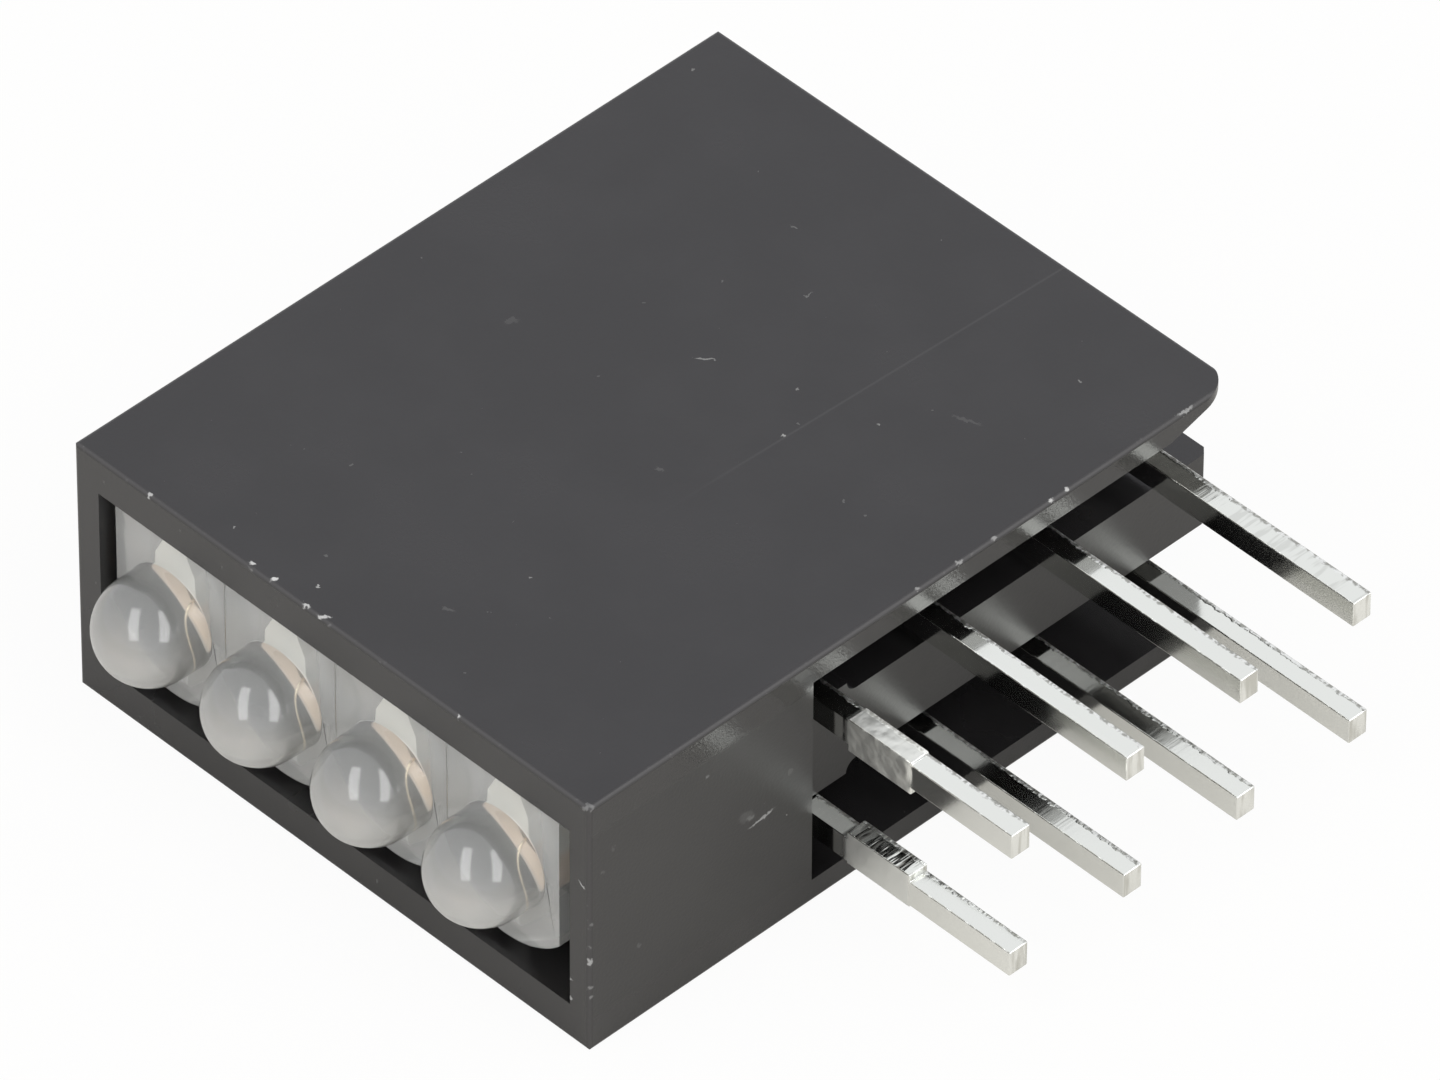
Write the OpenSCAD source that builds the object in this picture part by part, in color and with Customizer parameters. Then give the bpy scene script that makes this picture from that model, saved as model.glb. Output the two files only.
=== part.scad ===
// Right-angle stack of four board lamps in one moulded housing, lying on its side.
// Millimetres. +X runs down the leads to the board, the lamps shine towards -Y, +Z is up.
// The origin is the centre of the lead grid, on the plane of the board.

/* [Lamp bodies] */
// Distance between neighbouring lamps, up the stack
lamp_pitch = 2.54; // [2.5:0.02:3]
// Gap between the flats of neighbouring lamp bodies
lamp_gap = 0.04; // [0.02:0.01:0.1]
// Radius of the lens and of its domed end
lens_r = 0.95; // [0.75:0.05:1.1]
// Height of the whole lens above the face of its flange
lens_h = 1.42; // [1.2:0.02:2.4]
// Radius of the flange's round end, and reach of its square end
flange_r = 1.7; // [1.6:0.05:2]
// Rounding of the corners of the flange's square end
flange_corner = 0.15; // [0.05:0.05:0.4]
// Thickness of the flange, from its face to the lamp's back
flange_t = 1.9; // [1.5:0.05:2.6]
// How far the flange face lies behind the housing's front
lamp_inset = 0.25; // [0.05:0.05:0.8]

/* [Leads] */
// Distance between lead pairs, front to rear
lead_pitch = 2.54; // [2.2:0.02:3]
// Distance between the two lead rows
row_pitch = 2.54; // [2.4:0.02:2.6]
// Width of a lead across the rows
lead_w = 0.5; // [0.4:0.02:0.56]
// Thickness of the lead sheet
lead_t = 0.4; // [0.3:0.02:0.5]
// Length of the leads past the plane of the board
lead_len = 4.17; // [2.5:0.05:8]
// Inner radius of the right-angle bend
bend_r = 0.4; // [0.2:0.05:0.8]
// Run of the shortest lead, from the lamp's back to its pin
first_run = 3.17; // [2:0.05:5]
// Path from the lamp's back to the sheared tie-bar stub
stub_from = 5.65; // [5:0.05:6.2]
// Length of the stub along the lead
stub_len = 1.4; // [0.8:0.05:1.6]
// How far the stub stands out towards the other row
stub_in = 0.14; // [0.04:0.02:0.16]
// How far the stub stands out towards the side wall
stub_out = 0.04; // [0.02:0.01:0.12]

/* [Chip and bond] */
// Depth of the cup's rim below the face of the flange
rim_depth = 0.25; // [0.1:0.01:0.4]
// Outer radius of the cup
cup_r = 0.5; // [0.42:0.02:0.6]
// Radius of the cup's mouth
cup_mouth_r = 0.38; // [0.34:0.02:0.4]
// Radius of the cup's floor
cup_floor_r = 0.22; // [0.2:0.01:0.26]
// Depth of the cup
cup_depth = 0.25; // [0.2:0.01:0.35]
// Height of the head that carries the cup
head_h = 0.6; // [0.45:0.05:0.8]
// Half width of the head at its shoulders
shoulder_w = 0.45; // [0.3:0.01:0.5]
// Distance from the head's shoulders to the outer edge of its lead
shoulder_drop = 0.5; // [0.3:0.05:0.8]
// Side of the square chip
die_side = 0.26; // [0.2:0.01:0.28]
// Thickness of the chip
die_h = 0.15; // [0.1:0.01:0.18]
// Gap between the cup and the bond post
post_gap = 0.15; // [0.1:0.01:0.2]
// Height of the bond post's arm
post_h = 0.5; // [0.3:0.05:0.7]
// Distance from the post's tip to the wire's landing
landing = 0.12; // [0.06:0.01:0.16]
// Diameter of the bond wire
wire_d = 0.03; // [0.02:0.005:0.05]

/* [Housing] */
// Wall beside the lamp window, on each side
window_side_wall = 0.75; // [0.65:0.05:1.2]
// Wall over the top lamp
window_top_wall = 0.55; // [0.4:0.05:1.2]
// Wall between the window and the board
window_board_wall = 0.44; // [0.3:0.02:1]
// Gap between the ends of the flanges and the window
flange_side_gap = 0.175; // [0.1:0.025:0.4]
// Gap between the top lamp and the window
top_gap = 0.13; // [0.05:0.01:0.4]
// Gap between the lowest lamp and the window
board_gap = 0.51; // [0.4:0.01:0.8]
// Gap between the lamps' backs and the web they seat on
seat_gap = 0.02; // [0.01:0.01:0.1]
// Side wall beside a lead channel
channel_wall = 0.48; // [0.44:0.02:0.7]
// Length of the flare at a channel's rear mouth
mouth_len = 1.4; // [0.6:0.05:1.8]
// How far the flare thins the side wall
mouth_flare = 0.4; // [0.1:0.02:0.42]
// Gap between a tie-bar stub and the web
stub_clear = 0.12; // [0.06:0.01:0.16]
// Gap between the leads and the web's thick root
root_clear = 0.04; // [0.02:0.01:0.08]
// Length of the web's thick root past the first lead
root_past = 0.6; // [0.4:0.05:1]
// Gap in front of the first lead, at the end of its slot
slot_clear = 0.04; // [0.02:0.01:0.2]
// Shelf between the board pad and the slots
shelf = 0.2; // [0.1:0.02:0.5]
// How far the shelf and the web stand clear of the board
recess = 0.5; // [0.3:0.02:0.8]
// Floor between the shelf and the lead channels
floor_t = 0.4; // [0.3:0.05:0.7]
// Housing behind the last lead pair
rear_margin = 1.31; // [0.8:0.05:3]
// Chamfer on the web's rear edge
web_chamfer = 0.12; // [0.05:0.01:0.3]
// Rounding of the rear corners that stand on the board
heel_r = 0.6; // [0.2:0.05:1.1]
// Rounding of the moulded outer edges
edge_r = 0.08; // [0.03:0.01:0.15]

/* [Hidden] */
$fn = 64;
// Overrun of a cut past the face that it opens
cut = 1;
// Overlap of the pockets in a lamp body where the pieces set in them meet
lap = 0.02;
lamps = 4;
flange_w = lamp_pitch - lamp_gap;
lamp_height = window_board_wall + board_gap + flange_w / 2;
stack_top = lamp_height + (lamps - 1) * lamp_pitch + flange_w / 2 + top_gap;
housing_h = stack_top + window_top_wall;
window_z = flange_r + flange_side_gap;
housing_z = window_z + window_side_wall;
y_front = -(lamp_inset + flange_t + first_run) - (lamps - 1) / 2 * lead_pitch;
y_flange = y_front + lamp_inset;
y_back = y_flange + flange_t;
y_seat = y_back + seat_gap;
y_rear = (lamps - 1) / 2 * lead_pitch + rear_margin;
y_slot = y_lead(0) - lead_t / 2 - slot_clear;
y_root = y_lead(0) + lead_t / 2 + root_past;
channel_z = housing_z - channel_wall;
row_z = row_pitch / 2;
inner_z = row_z - lead_w / 2;
outer_z = row_z + lead_w / 2;
web_z = inner_z - stub_in - stub_clear;
root_z = inner_z - root_clear;
bend_c = bend_r + lead_t / 2;
bend_len = PI / 2 * bend_c;
y_rim = y_flange + rim_depth;
y_floor = y_rim + cup_depth;
y_head = y_rim + head_h;
y_bond = y_floor - die_h;
y_post = y_bond + post_h;
post_z = cup_r + post_gap;
wire_span = post_z + landing;

// Lamp 0 is the nearest to the board, and its leads are the first pair.
function x_lamp(i) = -lamp_height - i * lamp_pitch;
function y_lead(i) = (i - (lamps - 1) / 2) * lead_pitch;
function run_len(i) = y_lead(i) - bend_c - y_back;
function path_len(i) = run_len(i) + bend_len + lead_len - x_lamp(i) - bend_c;
function within(v, low, high) = min(max(v, low), high);

// Rectangle with its lower corner at the origin and rounded corners
module soft_rect(size, r) {
    translate([r, 0])
        square([size[0] - 2 * r, size[1]]);
    translate([0, r])
        square([size[0], size[1] - 2 * r]);
    for (x = [r, size[0] - r], y = [r, size[1] - r])
        translate([x, y])
            circle(r);
}

// What a round of radius r takes off a corner that points to +X and +Y
module corner_waste(r) {
    difference() {
        translate([-r, -r])
            square(r + cut);
        translate([-r, -r])
            circle(r);
    }
}

// Extrudes a drawing of the (Y, Z) plane along X
module along_x(x, length) {
    translate([x, 0, 0])
        rotate([90, 0, 90])
            linear_extrude(length)
                children();
}

// Turns a profile of radius and height about a lamp's axis, with its height towards -Y
module on_axis(i, y) {
    translate([x_lamp(i), y, 0])
        rotate([90, 0, 0])
            children();
}

// Side view of the housing, with its two heels on the board
module side_outline() {
    difference() {
        translate([-housing_h, y_front])
            soft_rect([housing_h, y_rear - y_front], edge_r);
        translate([0, y_rear])
            corner_waste(heel_r);
    }
}

// Outer block with all its edges eased
module shell() {
    intersection() {
        translate([0, 0, -housing_z])
            linear_extrude(2 * housing_z)
                side_outline();
        along_x(-housing_h - cut, housing_h + 2 * cut)
            translate([y_front, -housing_z])
                soft_rect([y_rear - y_front, 2 * housing_z], edge_r);
        translate([0, y_rear + cut, 0])
            rotate([90, 0, 0])
                linear_extrude(y_rear - y_front + 2 * cut)
                    translate([-housing_h, -housing_z])
                        soft_rect([housing_h, 2 * housing_z], edge_r);
    }
}

// Mouth in which the lamp bodies sit
module window() {
    translate([-stack_top, y_front - cut, -window_z])
        cube([stack_top - window_board_wall, y_seat - y_front + cut, 2 * window_z]);
}

// Side view of a lead channel: closed under the lamps, open to the board behind the slot's end
module channel_side() {
    translate([-stack_top, y_seat - seat_gap])
        square([stack_top - recess - floor_t, y_rear - y_seat + seat_gap + cut]);
    translate([-stack_top, y_slot])
        square([stack_top + cut, y_rear - y_slot + cut]);
}

// View of a lead channel along X: the web's root is thicker as far as y_root, and the rear mouth flares
module channel_plan() {
    step = root_z - web_z;
    difference() {
        polygon([
            [y_seat - seat_gap, web_z],
            [y_seat - seat_gap, channel_z],
            [y_rear - mouth_len, channel_z],
            [y_rear, channel_z + mouth_flare],
            [y_rear + cut, channel_z + mouth_flare],
            [y_rear + cut, web_z],
        ]);
        translate([y_seat - cut, web_z - cut])
            square([y_root - y_seat + cut, step + cut]);
        translate([y_root, web_z])
            difference() {
                square(step);
                translate([step, step])
                    circle(step);
            }
    }
}

module channel() {
    intersection() {
        linear_extrude(housing_z)
            channel_side();
        along_x(-housing_h, housing_h + cut)
            channel_plan();
    }
}

// Relief under the web and the shelf, between the side walls
module board_relief() {
    translate([0, 0, -channel_z])
        linear_extrude(2 * channel_z)
            polygon([
                [-recess, y_slot - shelf],
                [cut, y_slot - shelf],
                [cut, y_rear + cut],
                [-recess - web_chamfer, y_rear + cut],
                [-recess - web_chamfer, y_rear],
                [-recess, y_rear - web_chamfer],
            ]);
}

module housing() {
    color("#4a4a4d")
        difference() {
            shell();
            window();
            channel();
            mirror([0, 0, 1])
                channel();
            board_relief();
        }
}

// Side view of a lead between two distances along its path from the lamp's back
module strip(i, from, to) {
    x = x_lamp(i);
    run = run_len(i);
    bend_end = run + bend_len;
    if (from < run)
        translate([x - lead_t / 2, y_back + from])
            square([lead_t, min(to, run) - from]);
    if (from < bend_end && to > run)
        translate([x + bend_c, y_back + run])
            bend_sector(
                within((from - run) / bend_len, 0, 1) * 90,
                within((to - run) / bend_len, 0, 1) * 90
            );
    if (to > bend_end)
        translate([x + bend_c + max(from - bend_end, 0), y_lead(i) - lead_t / 2])
            square([to - max(from, bend_end), lead_t]);
}

// Part of the bend between two angles, turning from +Y to +X about the origin
module bend_sector(a, b) {
    reach = 2 * (bend_c + lead_t);
    intersection() {
        difference() {
            circle(bend_c + lead_t / 2);
            circle(bend_r);
        }
        polygon([
            [0, 0],
            reach * [-cos(a), sin(a)],
            reach * [-cos((a + b) / 2), sin((a + b) / 2)],
            reach * [-cos(b), sin(b)],
        ]);
    }
}

// One lead of the upper row from its inner end, with the stub that the shears left on it
module lead(i, y_end) {
    translate([0, 0, inner_z])
        linear_extrude(lead_w)
            strip(i, y_end - y_back, path_len(i));
    translate([0, 0, inner_z - stub_in])
        linear_extrude(stub_in + lead_w + stub_out)
            strip(i, stub_from, stub_from + stub_len);
}

// Coined head of a lead seen along the lamp's axis: the cup's rim and a neck out to the lead
module head_plan() {
    circle(cup_r);
    polygon([
        [-cup_r, 0],
        [cup_r, 0],
        [shoulder_w, outer_z - shoulder_drop],
        [lead_t / 2, outer_z],
        [-lead_t / 2, outer_z],
        [-shoulder_w, outer_z - shoulder_drop],
    ]);
}

// Hollow of the cup, radius and height above its floor
module cup_hollow() {
    polygon([
        [0, 0],
        [cup_floor_r, 0],
        [cup_mouth_r, cup_depth],
        [cup_mouth_r, cup_depth + cut],
        [0, cup_depth + cut],
    ]);
}

// Bond post of the other lead, in the (Y, Z) plane
module post_arm() {
    polygon([
        [y_post, outer_z],
        [y_bond + landing, outer_z],
        [y_bond, outer_z - landing],
        [y_bond, post_z],
        [y_bond + post_h / 2, post_z],
        [y_post, inner_z],
    ]);
}

module cathode(i) {
    color("#c9ccc8")
        difference() {
            union() {
                lead(i, y_rim);
                on_axis(i, y_head)
                    linear_extrude(head_h)
                        head_plan();
            }
            on_axis(i, y_floor)
                rotate_extrude()
                    cup_hollow();
        }
}

module anode(i) {
    color("#c9ccc8")
        mirror([0, 0, 1]) {
            lead(i, y_bond + landing);
            along_x(x_lamp(i) - lead_t / 2, lead_t)
                post_arm();
        }
}

// Chip on the cup's floor, or its pocket with some depth below that floor
module die(i, below = 0) {
    color("#5b4a3c")
        on_axis(i, y_floor + below)
            translate([-die_side / 2, -die_side / 2, 0])
                cube([die_side, die_side, die_h + below]);
}

// Half ring of wire from the chip's face to the bond post
module wire(i) {
    color("#d9b35a")
        translate([x_lamp(i), y_bond, -wire_span / 2])
            rotate([0, 90, 0])
                rotate([0, 0, 180])
                    rotate_extrude(angle = 180)
                        translate([wire_span / 2, 0])
                            circle(d = wire_d);
}

// Thin cores through the wire's two ends, which open its pocket to those of the chip and the post
module wire_ends(i) {
    for (z = [0, -wire_span])
        translate([0, 0, z])
            on_axis(i, y_bond + lap)
                cylinder(d = wire_d / 2, h = 2 * lap);
}

// Outline of a flange: flats beside its neighbours, a round end, and a square end over the cathode
module flange_plan() {
    intersection() {
        circle(flange_r);
        translate([-flange_w / 2, -flange_r])
            square([flange_w, flange_r]);
    }
    translate([-flange_w / 2, -flange_corner])
        soft_rect([flange_w, flange_r + flange_corner], flange_corner);
}

// Lens with a domed end, on its flange, before the metal is set in it
module lamp_body(i) {
    on_axis(i, y_flange) {
        cylinder(r = lens_r, h = lens_h - lens_r);
        translate([0, 0, lens_h - lens_r])
            sphere(lens_r);
    }
    on_axis(i, y_back)
        linear_extrude(flange_t)
            flange_plan();
}

module lamp(i) {
    color("#d8dad6")
        difference() {
            lamp_body(i);
            cathode(i);
            anode(i);
            die(i, lap);
            wire(i);
            wire_ends(i);
        }
}

housing();
lamp(0);  // lamp_1
lamp(1);  // lamp_2
lamp(2);  // lamp_3
lamp(3);  // lamp_4
cathode(0);  // cathode_1
cathode(1);  // cathode_2
cathode(2);  // cathode_3
cathode(3);  // cathode_4
anode(0);  // anode_1
anode(1);  // anode_2
anode(2);  // anode_3
anode(3);  // anode_4
die(0);  // die_1
die(1);  // die_2
die(2);  // die_3
die(3);  // die_4
wire(0);  // wire_1
wire(1);  // wire_2
wire(2);  // wire_3
wire(3);  // wire_4
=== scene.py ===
import math

import bmesh
import bpy
from mathutils import Matrix, Vector


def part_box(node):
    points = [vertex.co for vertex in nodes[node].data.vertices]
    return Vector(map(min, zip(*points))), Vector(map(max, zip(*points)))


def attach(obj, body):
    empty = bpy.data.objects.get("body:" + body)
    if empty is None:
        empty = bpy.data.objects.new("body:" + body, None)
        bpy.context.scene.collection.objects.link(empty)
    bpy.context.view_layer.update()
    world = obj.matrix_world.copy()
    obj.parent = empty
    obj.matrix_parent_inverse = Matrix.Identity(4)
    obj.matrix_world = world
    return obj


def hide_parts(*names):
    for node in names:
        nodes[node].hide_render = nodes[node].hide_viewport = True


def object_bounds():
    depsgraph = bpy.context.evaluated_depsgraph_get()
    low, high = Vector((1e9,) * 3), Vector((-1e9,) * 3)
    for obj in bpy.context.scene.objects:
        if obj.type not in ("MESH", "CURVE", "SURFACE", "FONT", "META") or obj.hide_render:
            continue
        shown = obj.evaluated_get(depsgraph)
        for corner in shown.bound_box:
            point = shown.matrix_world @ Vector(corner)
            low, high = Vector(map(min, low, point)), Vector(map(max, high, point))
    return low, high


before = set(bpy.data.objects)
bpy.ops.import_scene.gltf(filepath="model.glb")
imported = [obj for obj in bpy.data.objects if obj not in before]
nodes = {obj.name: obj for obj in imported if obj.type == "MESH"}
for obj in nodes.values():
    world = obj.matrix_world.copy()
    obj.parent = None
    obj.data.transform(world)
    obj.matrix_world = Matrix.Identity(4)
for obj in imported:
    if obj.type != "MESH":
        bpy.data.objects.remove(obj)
cadLow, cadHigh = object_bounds()
toMm = 1000.0  # the frame is in metres, shapes and patterns below are in mm
print("frame loaded:", len(nodes), "nodes")


# modelling helpers

smoothAngle = math.radians(28)
mergeGap = 0.0001  # mm
tiny = 0.001  # mm, for picking edges and faces by place


def clearSelection():
    if bpy.context.object and bpy.context.object.mode != "OBJECT":
        bpy.ops.object.mode_set(mode="OBJECT")
    bpy.ops.object.select_all(action="DESELECT")


def workOn(piece):
    clearSelection()
    piece.select_set(True)
    bpy.context.view_layer.objects.active = piece


def editOnly(piece):
    workOn(piece)
    bpy.ops.object.mode_set(mode="EDIT")
    bpy.ops.mesh.select_mode(type="EDGE")
    bpy.ops.mesh.select_all(action="DESELECT")


def pickEdges(piece, test):
    bpy.ops.mesh.select_mode(type="EDGE")
    mesh = bmesh.from_edit_mesh(piece.data)
    for edge in mesh.edges:
        edge.select = test(edge)
    mesh.select_flush_mode()
    bmesh.update_edit_mesh(piece.data)


def pickFaces(piece, test):
    bpy.ops.mesh.select_mode(type="FACE")
    mesh = bmesh.from_edit_mesh(piece.data)
    for face in mesh.faces:
        face.select = test(face)
    mesh.select_flush_mode()
    bmesh.update_edit_mesh(piece.data)


def isCrease(edge, least):
    return len(edge.link_faces) == 2 and edge.calc_face_angle(0.0) > least


def span(edge, axis):
    return abs(edge.verts[0].co[axis] - edge.verts[1].co[axis])


def resizeAll(factor):
    bpy.ops.mesh.select_all(action="SELECT")
    bpy.ops.transform.resize(value=(factor, factor, factor), center_override=(0, 0, 0))


def tidyMesh():
    bpy.ops.mesh.select_all(action="SELECT")
    bpy.ops.mesh.remove_doubles(threshold=mergeGap)
    bpy.ops.mesh.normals_make_consistent(inside=False)


def setMaterial(piece, material):
    piece.data.materials.clear()
    piece.data.materials.append(material)


def finishPiece(piece, standsFor, material):
    workOn(piece)
    bpy.ops.object.shade_smooth_by_angle(angle=smoothAngle)
    # flat faces keep their own normals beside eased edges
    bpy.ops.object.modifier_add(type="WEIGHTED_NORMAL")
    weighted = piece.modifiers[-1]
    weighted.weight, weighted.keep_sharp = 100, True
    bpy.ops.object.modifier_apply(modifier=weighted.name)
    setMaterial(piece, material)
    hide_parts(standsFor)
    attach(piece, "root")


# node helpers

def newMaterial(name):
    material = bpy.data.materials.new(name)
    material.use_nodes = True
    tree = material.node_tree
    tree.nodes.clear()
    output = tree.nodes.new("ShaderNodeOutputMaterial")
    shader = tree.nodes.new("ShaderNodeBsdfPrincipled")
    tree.links.new(shader.outputs["BSDF"], output.inputs["Surface"])
    return material, tree, shader


def newGroup(name, inputs, outputs):
    tree = bpy.data.node_groups.new(name, "ShaderNodeTree")
    for label, kind, start in inputs:
        socket = tree.interface.new_socket(name=label, in_out="INPUT", socket_type=kind)
        if start is not None:
            socket.default_value = start
    for label, kind in outputs:
        tree.interface.new_socket(name=label, in_out="OUTPUT", socket_type=kind)
    return tree, tree.nodes.new("NodeGroupInput"), tree.nodes.new("NodeGroupOutput")


def feed(tree, socket, value):
    if isinstance(value, bpy.types.NodeSocket):
        tree.links.new(value, socket)
    else:
        socket.default_value = value


def put(tree, kind, **inputs):
    node = tree.nodes.new(kind)
    for label, value in inputs.items():
        feed(tree, node.inputs[label], value)
    return node


def useGroup(tree, group, **inputs):
    node = tree.nodes.new("ShaderNodeGroup")
    node.node_tree = group
    for label, value in inputs.items():
        feed(tree, node.inputs[label], value)
    return node.outputs


def noise(tree, place, **settings):
    return put(tree, "ShaderNodeTexNoise", Vector=place, **settings).outputs


def calc(tree, operation, *values):
    node = tree.nodes.new("ShaderNodeMath")
    node.operation = operation
    for socket, value in zip(node.inputs, values):
        feed(tree, socket, value)
    return node.outputs[0]


def times(tree, first, *others):
    for other in others:
        first = calc(tree, "MULTIPLY", first, other)
    return first


def most(tree, first, *others):
    for other in others:
        first = calc(tree, "MAXIMUM", first, other)
    return first


def addTo(tree, start, value, amount):
    return calc(tree, "MULTIPLY_ADD", value, amount, start)


def absOf(tree, value):
    return calc(tree, "ABSOLUTE", value)


def vectorCalc(tree, operation, *values):
    node = tree.nodes.new("ShaderNodeVectorMath")
    node.operation = operation
    for socket, value in zip(node.inputs, values):
        feed(tree, socket, value)
    return node.outputs["Value" if operation == "LENGTH" else "Vector"]


def ramp(tree, value, low, high, atLow=0.0, atHigh=1.0):
    node = tree.nodes.new("ShaderNodeMapRange")
    node.interpolation_type = "SMOOTHSTEP"
    for label, amount in (("Value", value), ("From Min", low), ("From Max", high),
                          ("To Min", atLow), ("To Max", atHigh)):
        feed(tree, node.inputs[label], amount)
    return node.outputs["Result"]


def blendColour(tree, share, first, second):
    node = tree.nodes.new("ShaderNodeMix")
    node.data_type = "RGBA"
    feed(tree, node.inputs["Factor"], share)
    feed(tree, node.inputs["A"], first)
    feed(tree, node.inputs["B"], second)
    return node.outputs["Result"]


def partPlace(tree, stretch=(1, 1, 1)):
    # place on the part in mm
    coords = tree.nodes.new("ShaderNodeTexCoord")
    mapping = tree.nodes.new("ShaderNodeMapping")
    mapping.inputs["Scale"].default_value = [toMm * s for s in stretch]
    tree.links.new(coords.outputs["Object"], mapping.inputs["Vector"])
    return mapping.outputs["Vector"]


def axesOf(tree, vector):
    return put(tree, "ShaderNodeSeparateXYZ", Vector=vector).outputs


def facingOf(tree):
    return axesOf(tree, tree.nodes.new("ShaderNodeTexCoord").outputs["Normal"])


def setBump(tree, shader, height, strength, depth):
    bump = put(tree, "ShaderNodeBump", Strength=strength, Distance=depth, Height=height)
    tree.links.new(bump.outputs["Normal"], shader.inputs["Normal"])


# effects that several finishes share

fineNoise = {"Detail": 3.0, "Roughness": 0.6}
slowNoise = {"Detail": 4.0, "Roughness": 0.55}
speckShape = {"wobbleNoise": {"Scale": 9.0, "Detail": 2.0}, "wobble": 0.16,
              "sizePower": 3.0, "sizeSpread": 1.6, "sizeLeast": 0.35, "softEdge": 0.35}


def makeGrain():
    tree, given, result = newGroup(
        "surfaceGrain",
        [("Place", "NodeSocketVector", None), ("Fine", "NodeSocketFloat", 14.0),
         ("Slow", "NodeSocketFloat", 0.6)],
        [("Grain", "NodeSocketFloat"), ("Mottle", "NodeSocketFloat")])
    place = given.outputs["Place"]
    fine = noise(tree, place, Scale=given.outputs["Fine"], **fineNoise)
    slow = noise(tree, place, Scale=given.outputs["Slow"], **slowNoise)
    tree.links.new(fine["Fac"], result.inputs["Grain"])
    tree.links.new(slow["Fac"], result.inputs["Mottle"])
    return tree


def makeSpecks(shape):
    # one speck in a share of the cells, each of its own size
    tree, given, result = newGroup(
        "dustSpecks",
        [("Place", "NodeSocketVector", None), ("Cells", "NodeSocketFloat", 1.2),
         ("Size", "NodeSocketFloat", 0.05), ("Share", "NodeSocketFloat", 0.4)],
        [("Mask", "NodeSocketFloat")])
    place = given.outputs["Place"]
    wobble = noise(tree, place, **shape["wobbleNoise"])
    shift = vectorCalc(tree, "MULTIPLY", wobble["Color"], [shape["wobble"]] * 3)
    place = vectorCalc(tree, "ADD", place, shift)
    cells = put(tree, "ShaderNodeTexVoronoi", Vector=place, Scale=given.outputs["Cells"]).outputs
    draws = put(tree, "ShaderNodeSeparateColor", Color=cells["Color"]).outputs
    keep = calc(tree, "LESS_THAN", draws[0], given.outputs["Share"])
    grow = addTo(tree, shape["sizeLeast"], calc(tree, "POWER", draws[1], shape["sizePower"]),
                 shape["sizeSpread"])
    reach = times(tree, given.outputs["Size"], grow)
    inside = calc(tree, "SUBTRACT", 1.0, calc(tree, "DIVIDE", cells["Distance"], reach))
    tree.links.new(times(tree, keep, ramp(tree, inside, 0.0, shape["softEdge"])),
                   result.inputs["Mask"])
    return tree


grainGroup = makeGrain()
speckGroup = makeSpecks(speckShape)
print("shared effects made")


# housing: black satin nylon with dust, edge flecks, painted glints along the top back edge, and
# handling marks

housingLook = {
    "nylon": (0.0085, 0.0080, 0.0082, 1), "worn": (0.017, 0.0163, 0.0165, 1),
    "edge": (0.026, 0.0245, 0.024, 1), "dust": (0.22, 0.22, 0.21, 1),
    "fleck": (0.40, 0.40, 0.385, 1), "scuff": (0.1, 0.1, 0.098, 1),
    "grain": {"Fine": 15.0, "Slow": 0.5}, "wornReach": (0.35, 0.7), "wornMost": 0.3,
    "edgeWidth": 0.09, "edgeFull": 0.02,
    "burrNoise": {"Scale": 5.0, "Detail": 5.0, "Roughness": 0.75},
    "burrReach": (0.6, 0.76), "burrMost": 0.4,
    "wanderNoise": {"Scale": 13.0, "Detail": 3.0}, "wander": 0.16,
    "knitPlace": -3.963, "knitSlope": -0.039, "knitWidth": 0.035, "knitReach": (-4.2, -0.6),
    "knitShow": 0.12, "knitHeight": -0.6,
    "specks": {"Cells": 1.3, "Size": 0.03, "Share": 0.16}, "speckShow": 0.8,
    "fines": {"Cells": 4.0, "Size": 0.08, "Share": 0.1}, "fineShow": 0.2, "dustHeight": 1.5,
    "roughness": 0.26, "mottleDull": 0.1, "markDull": 0.4, "edgeDull": 0.3,
    "padDull": 0.08, "wallPolish": 0.1, "wallReach": (1.9, 2.1), "facingReach": (0.8, 0.95),
    "specular": 0.61, "bump": 0.3, "grainDepth": 0.00001,
}
# marks: centre, turn in degrees, half sizes, strength
topMarks = [
    ((-6.20, -0.58, 2.62), (0, 0, 40), (0.22, 0.03, 0.2), 0.6),
    ((-7.46, 2.63, 2.62), (0, 0, 10), (0.08, 0.022, 0.2), 0.3),
    ((-6.14, 1.67, 2.62), (0, 0, 80), (0.11, 0.022, 0.2), 0.3),
    ((-4.04, -0.94, 2.62), (0, 0, 0), (0.035, 0.035, 0.2), 0.9),
    ((-3.18, 0.30, 2.62), (0, 0, 0), (0.03, 0.03, 0.2), 0.6),
    ((-4.67, -0.02, 2.62), (0, 0, 0), (0.025, 0.025, 0.2), 0.5),
    ((-4.84, -2.91, 2.62), (0, 0, 30), (0.10, 0.06, 0.2), 0.12),
    ((-4.44, -6.13, 2.62), (0, 0, 0), (0.04, 0.03, 0.2), 0.6),
    ((-4.81, -7.54, 2.62), (0, 0, 20), (0.12, 0.05, 0.2), 0.12),
    ((-2.27, 1.39, 2.62), (0, 0, 20), (0.3, 0.04, 0.2), 0.1),
    ((-1.68, 3.33, 2.62), (0, 0, 0), (0.035, 0.025, 0.2), 0.5),
    ((-8.99, -2.18, 2.62), (0, 0, 60), (0.16, 0.08, 0.2), 0.08),
    ((-11.32, 4.15, 2.62), (0, 0, 0), (0.035, 0.035, 0.2), 0.4),
]
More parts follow.
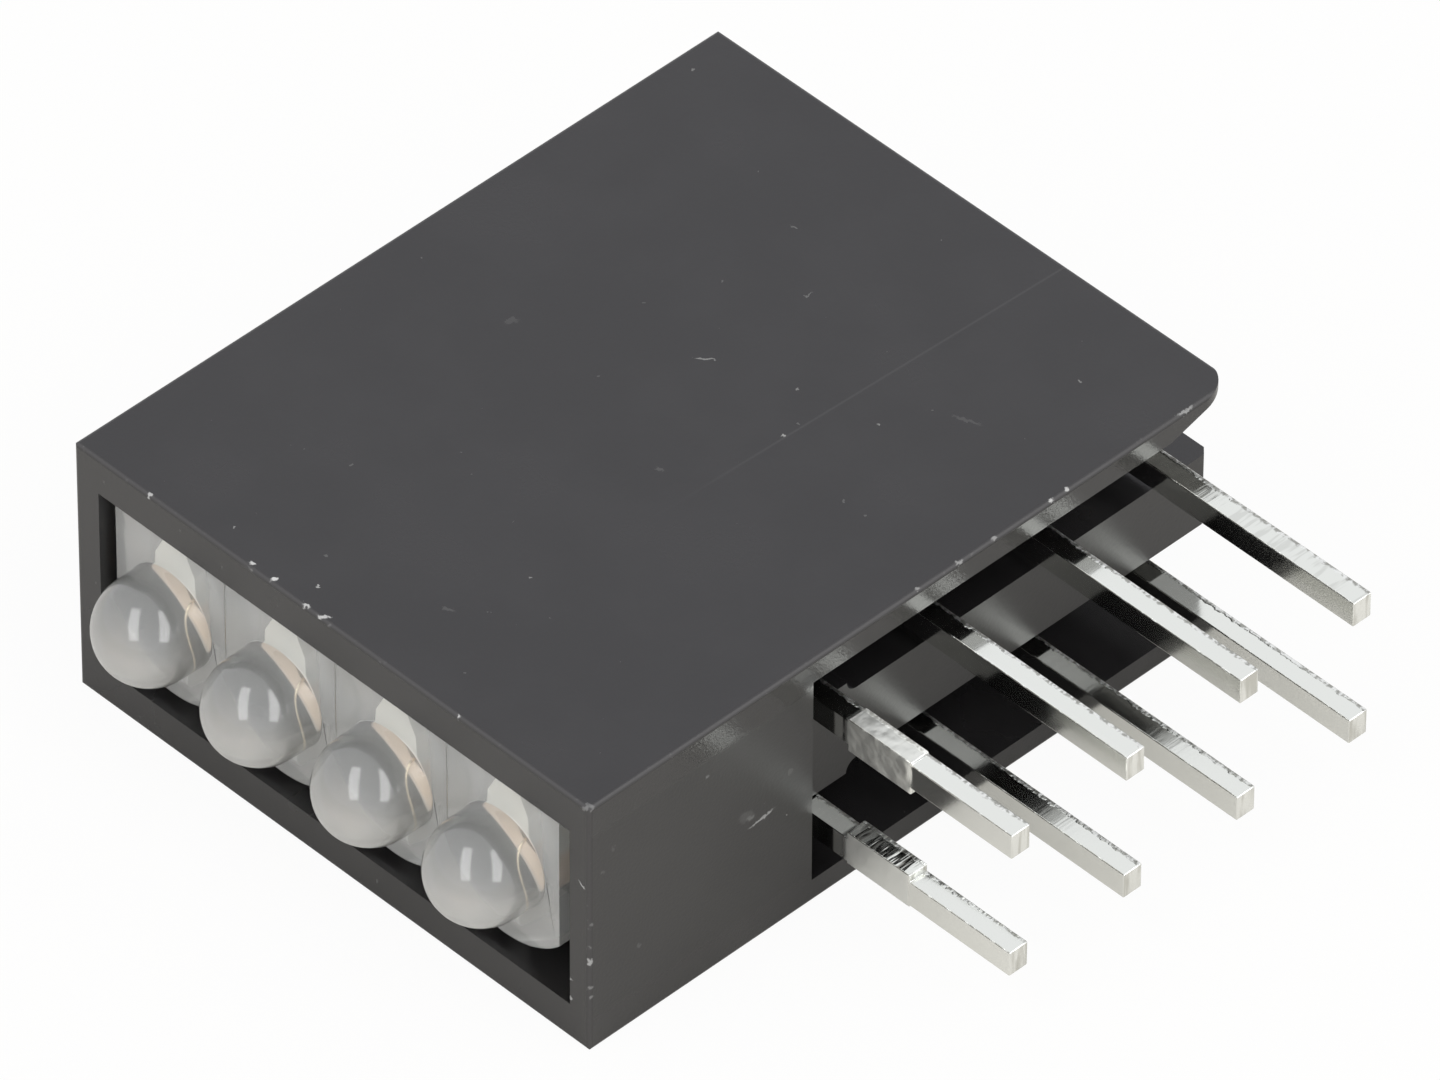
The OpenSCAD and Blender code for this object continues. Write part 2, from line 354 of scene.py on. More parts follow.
edgeFlecksAndGlints = [
    ((-10.01, -9.09, 2.6), (0, 0, 0), (0.06, 0.04, 0.1), 0.7),
    ((-7.72, -9.03, 2.6), (0, 0, 20), (0.07, 0.045, 0.1), 0.9),
    ((-7.22, -9.04, 2.6), (0, 0, 50), (0.08, 0.05, 0.1), 1.0),
    ((-6.62, -8.66, 2.62), (0, 0, 0), (0.03, 0.03, 0.1), 0.6),
    ((-6.44, -9.07, 2.6), (0, 0, 10), (0.1, 0.035, 0.1), 0.8),
    ((-6.05, -9.07, 2.6), (0, 0, 30), (0.14, 0.035, 0.1), 0.8),
    ((-2.95, -9.10, 2.6), (0, 0, 0), (0.045, 0.04, 0.1), 0.8),
    ((-0.08, -9.08, 2.6), (0, 0, 60), (0.14, 0.07, 0.1), 0.2),
    ((-0.17, -9.12, 0.91), (0, 40, 0), (0.1, 0.08, 0.04), 0.6),
    ((-0.02, -9.10, -0.68), (0, 0, 0), (0.05, 0.04, 0.1), 0.5),
    ((-0.02, -9.10, -1.25), (0, 0, 0), (0.05, 0.05, 0.05), 0.2),
    ((0.0, -9.08, -1.46), (0, 0, 0), (0.06, 0.06, 0.05), 0.2),
    ((0.0, -9.08, 0.11), (0, 0, 0), (0.05, 0.05, 0.04), 0.15),
    ((-0.43, -9.12, -1.31), (0, 0, 0), (0.04, 0.06, 0.04), 0.4),
    ((-0.43, -9.12, -1.73), (0, 0, 0), (0.05, 0.06, 0.06), 0.5),
    # these six, along the top back edge, are painted glints
    ((-0.05, 1.40, 2.6), (0, 0, 0), (0.045, 0.04, 0.1), 0.8),
    ((-0.05, 1.04, 2.6), (0, 0, 0), (0.04, 0.04, 0.1), 0.8),
    ((-0.04, -0.22, 2.6), (0, 0, 90), (0.06, 0.035, 0.1), 0.4),
    ((-0.03, -1.02, 2.6), (0, 0, 90), (0.1, 0.035, 0.1), 0.4),
    ((-0.04, 4.05, 2.6), (0, 0, 90), (0.2, 0.035, 0.1), 0.4),
    ((-0.04, -1.92, 2.6), (0, 0, 90), (0.05, 0.035, 0.1), 0.4),
]
padMarks = [
    ((0.0, -5.37, -0.05), (10, 0, 0), (0.2, 0.32, 0.035), 0.75),
    ((0.0, -5.70, 0.20), (-20, 0, 0), (0.2, 0.22, 0.15), 0.1),
    ((0.0, -5.62, 0.12), (-25, 0, 0), (0.2, 0.1, 0.05), 0.25),
    ((0.0, -6.55, 1.65), (0, 0, 0), (0.1, 0.05, 0.05), 0.35),
    ((0.0, -4.74, 0.55), (0, 0, 0), (0.1, 0.07, 0.07), 0.15),
    ((0.0, -8.06, -1.01), (0, 0, 0), (0.1, 0.05, 0.06), 0.15),
    ((0.0, -8.61, 1.46), (0, 0, 0), (0.1, 0.05, 0.06), 0.15),
    ((0.0, -8.85, 1.10), (0, 0, 0), (0.1, 0.06, 0.05), 0.15),
]
markCore = 0.55  # share of a mark's reach that has its full strength


def markMask(tree, place, marks):
    masks = []
    for centre, turn, half, strength in marks:
        around = tree.nodes.new("ShaderNodeMapping")
        around.vector_type = "TEXTURE"
        tree.links.new(place, around.inputs["Vector"])
        around.inputs["Location"].default_value = centre
        around.inputs["Rotation"].default_value = [math.radians(a) for a in turn]
        around.inputs["Scale"].default_value = half
        reach = vectorCalc(tree, "LENGTH", around.outputs["Vector"])
        masks.append(ramp(tree, reach, 1.0, markCore, 0.0, strength))
    return most(tree, *masks)


def makeHousingNylon(look):
    material, tree, shader = newMaterial("housingNylon")
    place = partPlace(tree)
    x, y, z = axesOf(tree, place)
    grain = useGroup(tree, grainGroup, Place=place, **look["grain"])
    # nearness to each pair of outer faces, and to the edges where two of them meet
    low, high = (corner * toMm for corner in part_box("housing"))
    near = []
    for along, least, greatest in zip((x, y, z), low, high):
        middle, half = (least + greatest) / 2, (greatest - least) / 2
        off = absOf(tree, calc(tree, "SUBTRACT", along, middle))
        near.append(ramp(tree, off, half - look["edgeWidth"], half - look["edgeFull"]))
    edges = most(tree, times(tree, near[0], near[1]),
                 times(tree, near[2], most(tree, near[0], near[1])))
    ragged = noise(tree, place, **look["burrNoise"])
    burr = times(tree, edges, ramp(tree, ragged["Fac"], *look["burrReach"], 0.0, look["burrMost"]))
    # irregular outlines for the single marks
    wander = noise(tree, place, **look["wanderNoise"])
    shift = vectorCalc(tree, "SUBTRACT", wander["Color"], (0.5, 0.5, 0.5))
    shift = vectorCalc(tree, "MULTIPLY", shift, [look["wander"]] * 3)
    shaken = vectorCalc(tree, "ADD", place, shift)
    # light flecks and burrs on the edges; those along the top back edge are painted glints
    flecksAndGlints = most(tree, burr, markMask(tree, shaken, edgeFlecksAndGlints))
    scuffs = most(tree, markMask(tree, shaken, topMarks), markMask(tree, shaken, padMarks))
    # faint knit line across the big face
    off = calc(tree, "SUBTRACT", addTo(tree, x, y, look["knitSlope"]), look["knitPlace"])
    knit = times(tree, ramp(tree, absOf(tree, off), look["knitWidth"], 0.0),
                 ramp(tree, y, *look["knitReach"]), near[2])
    specks = useGroup(tree, speckGroup, Place=place, **look["specks"])
    fines = useGroup(tree, speckGroup, Place=place, **look["fines"])
    dust = most(tree, times(tree, specks["Mask"], look["speckShow"]),
                times(tree, fines["Mask"], look["fineShow"]))
    worn = ramp(tree, grain["Mottle"], *look["wornReach"], 0.0, look["wornMost"])
    tone = blendColour(tree, worn, look["nylon"], look["worn"])
    tone = blendColour(tree, edges, tone, look["edge"])
    tone = blendColour(tree, times(tree, knit, look["knitShow"]), tone, look["scuff"])
    tone = blendColour(tree, dust, tone, look["dust"])
    tone = blendColour(tree, scuffs, tone, look["dust"])
    tone = blendColour(tree, flecksAndGlints, tone, look["fleck"])
    tree.links.new(tone, shader.inputs["Base Color"])
    # toward the board the wall ends are smoother, the pad and the web duller
    boardSide = ramp(tree, absOf(tree, z), *look["wallReach"], look["padDull"], -look["wallPolish"])
    towardBoard = ramp(tree, facingOf(tree)[0], *look["facingReach"])
    rough = addTo(tree, look["roughness"] - look["mottleDull"] / 2,
                  grain["Mottle"], look["mottleDull"])
    rough = addTo(tree, rough, towardBoard, boardSide)
    rough = addTo(tree, rough, edges, look["edgeDull"])
    rough = addTo(tree, rough, most(tree, dust, scuffs, flecksAndGlints), look["markDull"])
    tree.links.new(rough, shader.inputs["Roughness"])
    height = addTo(tree, grain["Grain"], dust, look["dustHeight"])
    height = addTo(tree, height, knit, look["knitHeight"])
    setBump(tree, shader, height, look["bump"], look["grainDepth"])
    shader.inputs["Specular IOR Level"].default_value = look["specular"]
    return material


# lamps: hazy pale resin with a gloss skin

lampLook = {
    "resin": (0.87, 0.88, 0.86, 1), "cloud": (0.91, 0.895, 0.84, 1),
    # dome tones: painted shade for the upper side, painted light (clear) for the lower side
    "paintedDomeShadeTone": (0.58, 0.59, 0.565, 1), "clear": (1.0, 0.995, 0.95, 1),
    "fleck": (0.99, 0.99, 0.97, 1),
    "grain": {"Fine": 6.0, "Slow": 0.9}, "cloudReach": (0.3, 0.7), "cloudMost": 0.6,
    "specks": {"Cells": 1.6, "Size": 0.025, "Share": 0.2},
    "domeReach": (-9.0, -9.5), "paintedDomeShadeReach": (0.0, 0.75), "paintedDomeShadeMost": 0.85,
    "paintedDomeLightReach": (0.3, -0.15),
    "roughness": 0.11, "grainDull": 0.05, "bump": 0.1, "bumpDepth": 0.00001,
    "transmission": 0.77, "refraction": 1.53, "coat": 0.35, "coatRoughness": 0.12,
}


def makeLampResin(look):
    material, tree, shader = newMaterial("lampResin")
    place = partPlace(tree)
    y, z = axesOf(tree, place)[1:3]
    grain = useGroup(tree, grainGroup, Place=place, **look["grain"])
    specks = useGroup(tree, speckGroup, Place=place, **look["specks"])
    cloud = ramp(tree, grain["Mottle"], *look["cloudReach"], 0.0, look["cloudMost"])
    tone = blendColour(tree, cloud, look["resin"], look["cloud"])
    # painted shade toward the dome's upper side and painted light toward its lower side
    dome = ramp(tree, y, *look["domeReach"])
    paintedDomeShade = times(tree, dome, ramp(tree, z, *look["paintedDomeShadeReach"], 0.0, look["paintedDomeShadeMost"]))
    tone = blendColour(tree, paintedDomeShade, tone, look["paintedDomeShadeTone"])
    # clear paints light on the dome's lower side
    clear = times(tree, dome, ramp(tree, z, *look["paintedDomeLightReach"]))
    tone = blendColour(tree, clear, tone, look["clear"])
    tone = blendColour(tree, specks["Mask"], tone, look["fleck"])
    tree.links.new(tone, shader.inputs["Base Color"])
    rough = addTo(tree, look["roughness"], grain["Grain"], look["grainDull"])
    tree.links.new(rough, shader.inputs["Roughness"])
    setBump(tree, shader, grain["Mottle"], look["bump"], look["bumpDepth"])
    shader.inputs["Transmission Weight"].default_value = look["transmission"]
    shader.inputs["IOR"].default_value = look["refraction"]
    shader.inputs["Coat Weight"].default_value = look["coat"]
    shader.inputs["Coat Roughness"].default_value = look["coatRoughness"]
    return material


# leads: bright tin over stamped strip, its sheared faces turned to +Z and -Z

leadLook = {
    "tin": (0.83, 0.84, 0.81, 1), "dull": (0.74, 0.75, 0.72, 1), "sheared": (0.81, 0.83, 0.775, 1),
    "torn": (0.58, 0.58, 0.54, 1), "pitAndPaintedShade": (0.18, 0.175, 0.15, 1),
    "silver": (0.99, 0.98, 0.9, 1), "copper": (0.95, 0.78, 0.62, 1), "shaded": (0.5, 0.51, 0.5, 1),
    "grain": {"Fine": 10.0, "Slow": 1.2}, "dullReach": (0.4, 0.8), "dullMost": 0.5,
    "roughness": 0.08, "mottleDull": 0.06, "mottleHeight": 0.06,
    "bump": 0.6, "bumpDepth": 0.00004,
    "facingReach": (0.75, 0.95), "rowHalf": 0.3, "pitch": 2.54,
    # rolling lines along the strip
    "rollStretch": (0.8, 0.8, 18), "rollNoise": {"Scale": 1.0, "Detail": 3.0}, "rollHeight": 0.008,
    # chatter on the sheared faces, and the ragged limit of the part that tore
    "chatterStretch": (7, 1, 3), "chatterNoise": {"Scale": 1.0, "Detail": 2.0, "Roughness": 0.6},
    "chatterHeight": 0.06,
    "raggedStretch": (7, 3, 3), "raggedNoise": {"Scale": 1.0, "Detail": 4.0},
    "tornFrom": 0.06, "tornWander": 0.14, "tornReach": (0.05, 0.09),
    "tornShow": 0.7, "tornDull": 0.22, "tornHeight": 0.7,
    "sparkNoise": {"Scale": 12.0, "Detail": 2.0}, "sparkReach": (0.4, 0.6),
    # painted dark reflection along the rolled-over edge
    "paintedEdgeReflectionReach": (-0.2, -0.42), "paintedEdgeReflectionGaps": (0.35, 0.5), "paintedEdgeReflectionShow": (0.35, 0.9),
    # tie-bar stubs of the front pair; pairs of values are for the lower and upper row
    "stubStart": (0.4, 0.55), "stubEnd": (2.0, 1.8), "stubRow": (-2.6, -2.8),
    "stubGrey": (0.0, 0.45), "stubDull": (0.06, 0.32), "stubSideDull": 0.34,
    "crumpleNoise": {"Scale": 3.2, "Detail": 1.5}, "crumpleHeight": (0.6, 2.2),
    # the score grooves are bump; paintedScoreShadeShow darkens them as painted shade
    "score": (1.0, 0.15), "scoreGaps": (0.52, 0.4), "paintedScoreShadeShow": 0.9, "scoreHeight": 1.2,
    # light scoring along the far upper lead
    "farRow": (2.6, 2.8), "farUpper": (0.3, 0.9), "farScore": 0.2,
    # cropped ends
    "cutStretch": (2, 8, 1), "cutNoise": {"Scale": 1.0, "Detail": 3.0}, "cutReach": (0.42, 0.66),
    "cutDull": 0.15, "cutHeight": 0.3,
    # inside the lamps
    "lampReach": (-6.9, -7.1), "copperReach": (0.55, 0.25), "shadedReach": (-0.35, -0.6),
    "lampDull": 0.28,
}


def makeLeadTin(look):
    material, tree, shader = newMaterial("leadTin")
    place = partPlace(tree)
    x, y, z = axesOf(tree, place)
    faceX, faceY, faceZ = facingOf(tree)
    grain = useGroup(tree, grainGroup, Place=place, **look["grain"])
    chatter = noise(tree, partPlace(tree, look["chatterStretch"]), **look["chatterNoise"])["Fac"]
    ragged = noise(tree, partPlace(tree, look["raggedStretch"]), **look["raggedNoise"])["Fac"]
    rolled = noise(tree, partPlace(tree, look["rollStretch"]), **look["rollNoise"])["Fac"]
    cutLines = noise(tree, partPlace(tree, look["cutStretch"]), **look["cutNoise"])["Fac"]
    spark = noise(tree, place, **look["sparkNoise"])["Fac"]
    crumple = noise(tree, place, **look["crumpleNoise"])["Fac"]

    def byRow(lower, upper):
        return ramp(tree, z, -look["rowHalf"], look["rowHalf"], lower, upper)

    sheared = ramp(tree, absOf(tree, faceZ), *look["facingReach"])
    cropped = ramp(tree, faceX, *look["facingReach"])
    inLamp = ramp(tree, y, *look["lampReach"])
    # place across one lead, the same for all four pitches
    across = calc(tree, "ADD", y, 2 * look["pitch"])
    across = calc(tree, "FLOORED_MODULO", across, look["pitch"])
    across = calc(tree, "SUBTRACT", across, look["pitch"] / 2)
    limit = addTo(tree, look["tornFrom"], calc(tree, "SUBTRACT", ragged, 0.5), look["tornWander"])
    torn = times(tree, sheared,
                 ramp(tree, calc(tree, "SUBTRACT", across, limit), *look["tornReach"]))
    stub = times(tree, ramp(tree, x, *look["stubStart"]), ramp(tree, x, *look["stubEnd"]),
                 ramp(tree, y, *look["stubRow"]))
    # the crop tool scored the stubs, harder in the lower row, and the far upper lead lightly
    farTop = times(tree, ramp(tree, y, *look["farRow"]), ramp(tree, z, *look["farUpper"]))
    scored = most(tree, times(tree, stub, sheared, byRow(*look["score"])),
                  times(tree, farTop, sheared, look["farScore"]))
    # painted shade in the score grooves
    paintedScoreShade = times(tree, scored, ramp(tree, chatter, *look["scoreGaps"]))
    # painted dark reflection where the rolled-over edge faces forward and up
    paintedEdgeReflection = times(tree, ramp(tree, times(tree, faceY, faceZ), *look["paintedEdgeReflectionReach"]),
                     ramp(tree, ragged, *look["paintedEdgeReflectionGaps"], *look["paintedEdgeReflectionShow"]))

    dull = ramp(tree, grain["Mottle"], *look["dullReach"], 0.0, look["dullMost"])
    tone = blendColour(tree, dull, look["tin"], look["dull"])
    tone = blendColour(tree, sheared, tone, look["sheared"])
    # bright and dark grains where the strip tore
    grains = blendColour(tree, ramp(tree, spark, *look["sparkReach"]), look["pitAndPaintedShade"], look["tin"])
    tone = blendColour(tree, times(tree, torn, look["tornShow"]), tone, grains)
    tone = blendColour(tree, times(tree, stub, byRow(*look["stubGrey"])), tone, look["torn"])
    # painted shade in the scores
    tone = blendColour(tree, times(tree, paintedScoreShade, look["paintedScoreShadeShow"]), tone, look["pitAndPaintedShade"])
    cut = ramp(tree, cutLines, *look["cutReach"])
    tone = blendColour(tree, times(tree, cropped, cut), tone, look["torn"])
    tone = blendColour(tree, paintedEdgeReflection, tone, look["pitAndPaintedShade"])
    # inside the lamps: silver above, bare strip in the middle, painted shade below
    plating = blendColour(tree, ramp(tree, z, *look["copperReach"]), look["silver"], look["copper"])
    plating = blendColour(tree, ramp(tree, z, *look["shadedReach"]), plating, look["shaded"])
    tone = blendColour(tree, inLamp, tone, plating)
    tree.links.new(tone, shader.inputs["Base Color"])

    rough = addTo(tree, look["roughness"], grain["Mottle"], look["mottleDull"])
    rough = addTo(tree, rough, torn, look["tornDull"])
    stubDull = ramp(tree, sheared, 0.0, 1.0, look["stubSideDull"], byRow(*look["stubDull"]))
    rough = addTo(tree, rough, stub, stubDull)
    rough = addTo(tree, rough, cropped, look["cutDull"])
    rough = addTo(tree, rough, inLamp, look["lampDull"])
    tree.links.new(rough, shader.inputs["Roughness"])
    tree.links.new(ramp(tree, inLamp, 0.0, 1.0, 1.0, 0.0), shader.inputs["Metallic"])

    depth = addTo(tree, look["chatterHeight"], scored, look["scoreHeight"])
    depth = addTo(tree, depth, torn, look["tornHeight"])
    height = times(tree, chatter, depth, sheared)
    height = addTo(tree, height, rolled, look["rollHeight"])
    height = addTo(tree, height, times(tree, cropped, cutLines), look["cutHeight"])
    height = addTo(tree, height, grain["Mottle"], look["mottleHeight"])
    # the stubs are crumpled, more so in the upper row
    height = addTo(tree, height, crumple, times(tree, stub, byRow(*look["crumpleHeight"])))
    setBump(tree, shader, height, look["bump"], look["bumpDepth"])
    return material


# chips and bond wires

chipLook = {"dark": (0.16, 0.12, 0.08, 1), "light": (0.34, 0.26, 0.16, 1),
            "grain": {"Fine": 30.0, "Slow": 6.0}, "roughness": 0.1, "grainDull": 0.2}
wireLook = {"dark": (0.91, 0.77, 0.55, 1), "light": (0.96, 0.85, 0.66, 1),
            "grain": {"Fine": 40.0, "Slow": 8.0}, "roughness": 0.15, "grainDull": 0.15}


def makeMottled(name, look, metallic):
    material, tree, shader = newMaterial(name)
    grain = useGroup(tree, grainGroup, Place=partPlace(tree), **look["grain"])
    tone = blendColour(tree, grain["Mottle"], look["dark"], look["light"])
    tree.links.new(tone, shader.inputs["Base Color"])
    rough = addTo(tree, look["roughness"], grain["Grain"], look["grainDull"])
    tree.links.new(rough, shader.inputs["Roughness"])
    shader.inputs["Metallic"].default_value = metallic
    return material


housingNylon = makeHousingNylon(housingLook)
lampResin = makeLampResin(lampLook)
leadTin = makeLeadTin(leadLook)
chipCrystal = makeMottled("chipCrystal", chipLook, 0.0)
wireGold = makeMottled("wireGold", wireLook, 1.0)
print("finishes made")


# lamp bodies: a flange with one round and one square end, a barrel and a dome in one piece

lampShape = {"lensR": 0.95, "lensH": 1.42, "squareCorner": 0.15, "cornerSteps": 6,
             "rimRound": 0.012, "rimSteps": 3, "footFillet": 0.025, "flatReach": 0.013,
             "sides": 96, "domeRings": 14, "filletRings": 4,
             "crease": 0.35, "flatAngle": math.radians(0.2), "cutGap": 1e-5}


def modelFlange(shape, low, high, faceY):
    # a disc cut flat beside its neighbours, its upper half drawn out square
    axisX, reach = (low.x + high.x) / 2, high.z
    flatLow, flatHigh = low.x - shape["flatReach"], high.x + shape["flatReach"]
    clearSelection()
    bpy.ops.mesh.primitive_cylinder_add(
        vertices=shape["sides"], radius=reach, depth=high.y - faceY,
        location=(axisX, (high.y + faceY) / 2, 0), rotation=(math.pi / 2, 0, 0))
    flange = bpy.context.object
    bpy.ops.object.transform_apply(location=True, rotation=True, scale=True)
    editOnly(flange)
    cuts = (((flatLow, 0, 0), (-1, 0, 0)), ((flatHigh, 0, 0), (1, 0, 0)), ((0, 0, 0), (0, 0, 1)))
    for spot, outward in cuts:
        bpy.ops.mesh.select_all(action="SELECT")
        bpy.ops.mesh.bisect(plane_co=spot, plane_no=outward, use_fill=True, clear_outer=True,
                            threshold=shape["cutGap"])
    pickFaces(flange, lambda face: face.normal.z > 0.9)
    bpy.ops.mesh.extrude_region_move(TRANSFORM_OT_translate={"value": (0, 0, reach)})
    tidyMesh()
    bpy.ops.mesh.dissolve_limited(angle_limit=shape["flatAngle"])
    pickEdges(flange, lambda edge: span(edge, 0) < tiny
              and all(v.co.z > reach - tiny for v in edge.verts))
    bpy.ops.mesh.bevel(offset=shape["squareCorner"], segments=shape["cornerSteps"], affect="EDGES")
    # rims eased at both ends, left sharp where the flats meet the next lamp
    pickEdges(flange, lambda edge: isCrease(edge, shape["crease"])
              and span(edge, 1) < tiny < span(edge, 0))
    bpy.ops.mesh.bevel(offset=shape["rimRound"], segments=shape["rimSteps"], affect="EDGES")
    # open the face for the lens
    pickFaces(flange, lambda face: face.normal.y < -0.99
              and face.calc_center_median().y < faceY + tiny)
    bpy.ops.mesh.delete(type="FACE")
    clearSelection()
    return flange


def lensRings(shape, tipY, faceY):
    # place along Y and radius of each ring, from the foot fillet to the dome
    lensR, fillet, rings = shape["lensR"], shape["footFillet"], []
    for k in range(1, shape["filletRings"] + 1):
        turn = math.pi / 2 * k / shape["filletRings"]
        rings.append((faceY - fillet * (1 - math.cos(turn)), lensR + fillet * (1 - math.sin(turn))))
    for k in range(shape["domeRings"]):
        turn = math.pi / 2 * k / shape["domeRings"]
        rings.append((tipY + lensR * (1 - math.sin(turn)), lensR * math.cos(turn)))
    return rings


def modelLens(shape, low, high, faceY):
    # a ring at the foot, drawn out step by step to the tip
    axisX, tipY = (low.x + high.x) / 2, low.y
    atY, atR = faceY, shape["lensR"] + shape["footFillet"]
    clearSelection()
    bpy.ops.mesh.primitive_circle_add(
        vertices=shape["sides"], radius=atR, fill_type="NOTHING",
        location=(axisX, faceY, 0), rotation=(math.pi / 2, 0, 0))
    lens = bpy.context.object
    bpy.ops.object.transform_apply(location=True, rotation=True, scale=True)
    editOnly(lens)
    bpy.ops.mesh.select_all(action="SELECT")
    for ringY, ringR in lensRings(shape, tipY, faceY):
        bpy.ops.mesh.extrude_region_move(TRANSFORM_OT_translate={"value": (0, ringY - atY, 0)})
        bpy.ops.transform.resize(value=(ringR / atR, 1, ringR / atR),
                                 center_override=(axisX, ringY, 0))
        atY, atR = ringY, ringR
    bpy.ops.mesh.extrude_region_move(TRANSFORM_OT_translate={"value": (0, tipY - atY, 0)})
    bpy.ops.mesh.merge(type="CENTER")
    clearSelection()
    return lens


def makeLamps(shape):
    low, high = (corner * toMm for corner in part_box("lamp_1"))
    faceY = low.y + shape["lensH"]
    first = modelFlange(shape, low, high, faceY)
    lens = modelLens(shape, low, high, faceY)
    workOn(first)
    lens.select_set(True)
    bpy.ops.object.join()
    editOnly(first)
    pickEdges(first, lambda edge: len(edge.link_faces) == 1)
    bpy.ops.mesh.bridge_edge_loops()
    tidyMesh()
    resizeAll(1 / toMm)
    pieces = [first]
    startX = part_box("lamp_1")[0].x
    for number in (2, 3, 4):
        workOn(first)
        bpy.ops.object.duplicate()
        pieces.append(bpy.context.object)
        bpy.ops.transform.translate(value=(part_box(f"lamp_{number}")[0].x - startX, 0, 0))
        bpy.ops.object.transform_apply(location=True, rotation=True, scale=True)
    for number, piece in enumerate(pieces, 1):
        piece.name = piece.data.name = f"lampBody{number}"
        finishPiece(piece, f"lamp_{number}", lampResin)
    return pieces


lamps = makeLamps(lampShape)
print("lamp bodies:", [len(p.data.polygons) for p in lamps])


# leads: the stamped strips with their edges eased outside the lamps

leadShape = {"ease": 0.058, "easeSteps": 4, "freeFrom": -6.9, "crease": 0.6,
             "mergeGap": 0.0005, "flatAngle": math.radians(0.5)}


def makeLead(name, shape):
    workOn(nodes[name])
    bpy.ops.object.duplicate()
    piece = bpy.context.object
    piece.parent = None
    for key in list(piece.keys()):
        del piece[key]
    kind, number = name.split("_")
    piece.name = piece.data.name = f"{kind}Lead{number}"
    editOnly(piece)
    resizeAll(toMm)
    bpy.ops.mesh.remove_doubles(threshold=shape["mergeGap"])
    bpy.ops.mesh.dissolve_limited(angle_limit=shape["flatAngle"])
    pickEdges(piece, lambda edge: isCrease(edge, shape["crease"])
              and min(v.co.y for v in edge.verts) > shape["freeFrom"])
    bpy.ops.mesh.bevel(offset=shape["ease"], segments=shape["easeSteps"], affect="EDGES",
                       clamp_overlap=True)
    resizeAll(1 / toMm)
    finishPiece(piece, name, leadTin)
    return piece


leads = [makeLead(f"{kind}_{number}", leadShape)
         for kind in ("cathode", "anode") for number in (1, 2, 3, 4)]
print("leads:", [len(p.data.polygons) for p in leads])

cadFinish = {"housing": housingNylon, "die": chipCrystal, "wire": wireGold}
for node in nodes.values():
    kind = node.name.split("_")[0]
    if kind in cadFinish:
        setMaterial(node, cadFinish[kind])
print("CAD finishes set")


# floor, light and camera

view = {"place": (0.14910000, -0.15268325, 0.20038563), "turn": (47.14283, -0.20615, 45.72120),
        "lens": 461.674, "sensor": 36.0, "clip": (0.01, 20.0)}
studio = {"floorTone": (0.56, 0.545, 0.506, 1), "floorPale": (0.88, 0.87, 0.84, 1),
          "floorWhite": 0.94, "floorMirrored": 0.06, "floorThrough": 0.5, "floorSize": 6.0,
          "tentTone": (0.955, 0.955, 1, 1),
          "lampTarget": (-0.004, -0.004, 0), "lampDistance": 0.4}
# soft lamps: lean from the target in the camera's axes, width, height, brightness
softLamps = {"stripLeft": ((-0.5, 0.16, 0.85), 0.14, 0.46, 4.2),
             "stripRight": ((0.5, 0.1, 0.86), 0.14, 0.46, 4.2),
             "boxBehind": ((0.728, 0.497, 0.457), 0.12, 0.18, 2.9)}


def makeCamera(spot):
    clearSelection()
    bpy.ops.object.camera_add(location=spot["place"],
                              rotation=[math.radians(a) for a in spot["turn"]])
    camera = bpy.context.object
    camera.data.lens, camera.data.sensor_width = spot["lens"], spot["sensor"]
    camera.data.sensor_fit = "HORIZONTAL"
    camera.data.clip_start, camera.data.clip_end = spot["clip"]
    bpy.context.scene.camera = camera
    bpy.context.view_layer.update()
    return camera


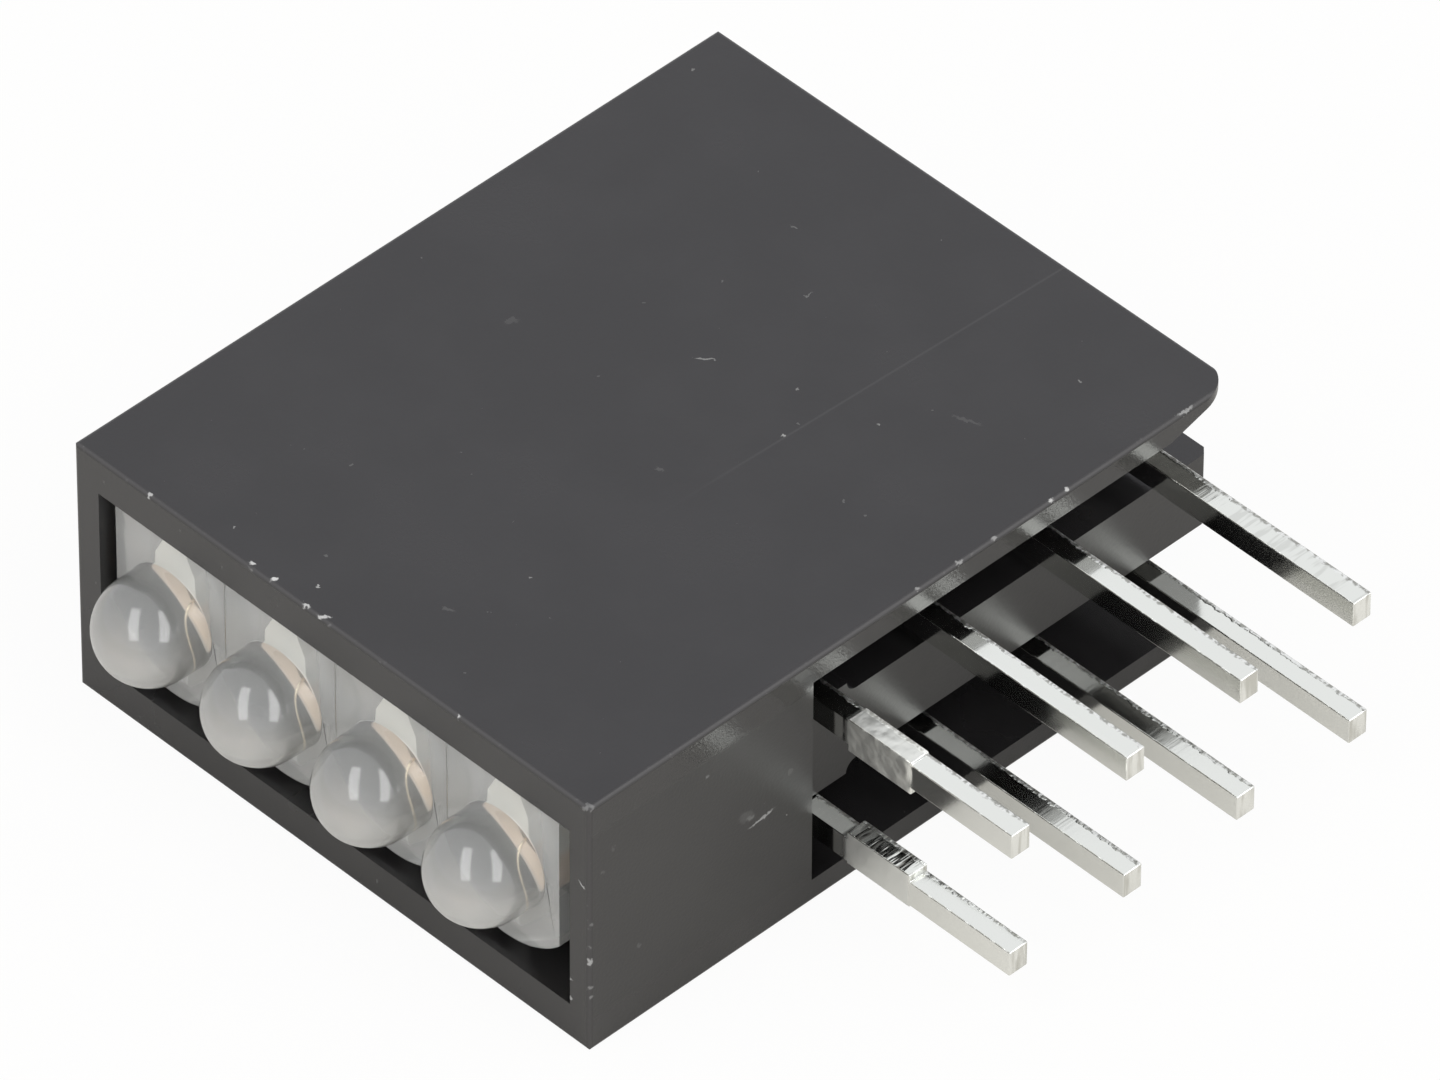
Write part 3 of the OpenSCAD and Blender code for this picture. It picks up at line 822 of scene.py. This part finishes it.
def makeFloor(setup):
    clearSelection()
    bpy.ops.mesh.primitive_plane_add(size=setup["floorSize"], location=(0, 0, cadLow.z))
    floor = bpy.context.object
    floor.name = "floorPaper"
    material = bpy.data.materials.new("floorPaper")
    material.use_nodes = True
    tree = material.node_tree
    tree.nodes.clear()
    output = tree.nodes.new("ShaderNodeOutputMaterial")
    path = tree.nodes.new("ShaderNodeLightPath").outputs
    # white paper, toned down where gloss mirrors it
    tone = blendColour(tree, path["Is Diffuse Ray"], setup["floorTone"], setup["floorPale"])
    paper = put(tree, "ShaderNodeBsdfDiffuse", Color=tone)
    glow = put(tree, "ShaderNodeEmission", Color=(1, 1, 1, 1), Strength=1.0)
    share = times(tree, path["Is Camera Ray"], setup["floorWhite"])
    share = addTo(tree, share, path["Is Glossy Ray"], setup["floorMirrored"])
    share = addTo(tree, share, path["Is Transmission Ray"], setup["floorThrough"])
    mix = tree.nodes.new("ShaderNodeMixShader")
    tree.links.new(share, mix.inputs[0])
    tree.links.new(paper.outputs[0], mix.inputs[1])
    tree.links.new(glow.outputs[0], mix.inputs[2])
    tree.links.new(mix.outputs[0], output.inputs["Surface"])
    material.cycles.emission_sampling = "NONE"
    floor.data.materials.append(material)


def makeLight(setup, camera):
    world = bpy.data.worlds.new("studioWhite")
    bpy.context.scene.world = world
    world.use_nodes = True
    tree = world.node_tree
    tree.nodes.clear()
    output = tree.nodes.new("ShaderNodeOutputWorld")
    sky = put(tree, "ShaderNodeBackground", Color=setup["tentTone"], Strength=1.0)
    tree.links.new(sky.outputs[0], output.inputs["Surface"])
    # two tall strips left and right of the camera, and a box to the right and behind
    turn = camera.matrix_world.to_3x3()
    target = Vector(setup["lampTarget"])
    for name, (lean, wide, tall, brightness) in softLamps.items():
        back = (turn @ Vector(lean)).normalized()
        side = (turn @ Vector((0, 1, 0))).cross(back).normalized()
        clearSelection()
        bpy.ops.object.light_add(
            type="AREA", location=target + back * setup["lampDistance"],
            rotation=Matrix((side, back.cross(side), back)).transposed().to_euler())
        lamp = bpy.context.object
        lamp.name = name
        lamp.data.shape = "RECTANGLE"
        lamp.data.size, lamp.data.size_y = wide, tall
        lamp.data.energy = math.pi * wide * tall * brightness


camera = makeCamera(view)
makeFloor(studio)
makeLight(studio, camera)
bpy.context.scene.view_settings.view_transform = "Standard"
print("studio made")
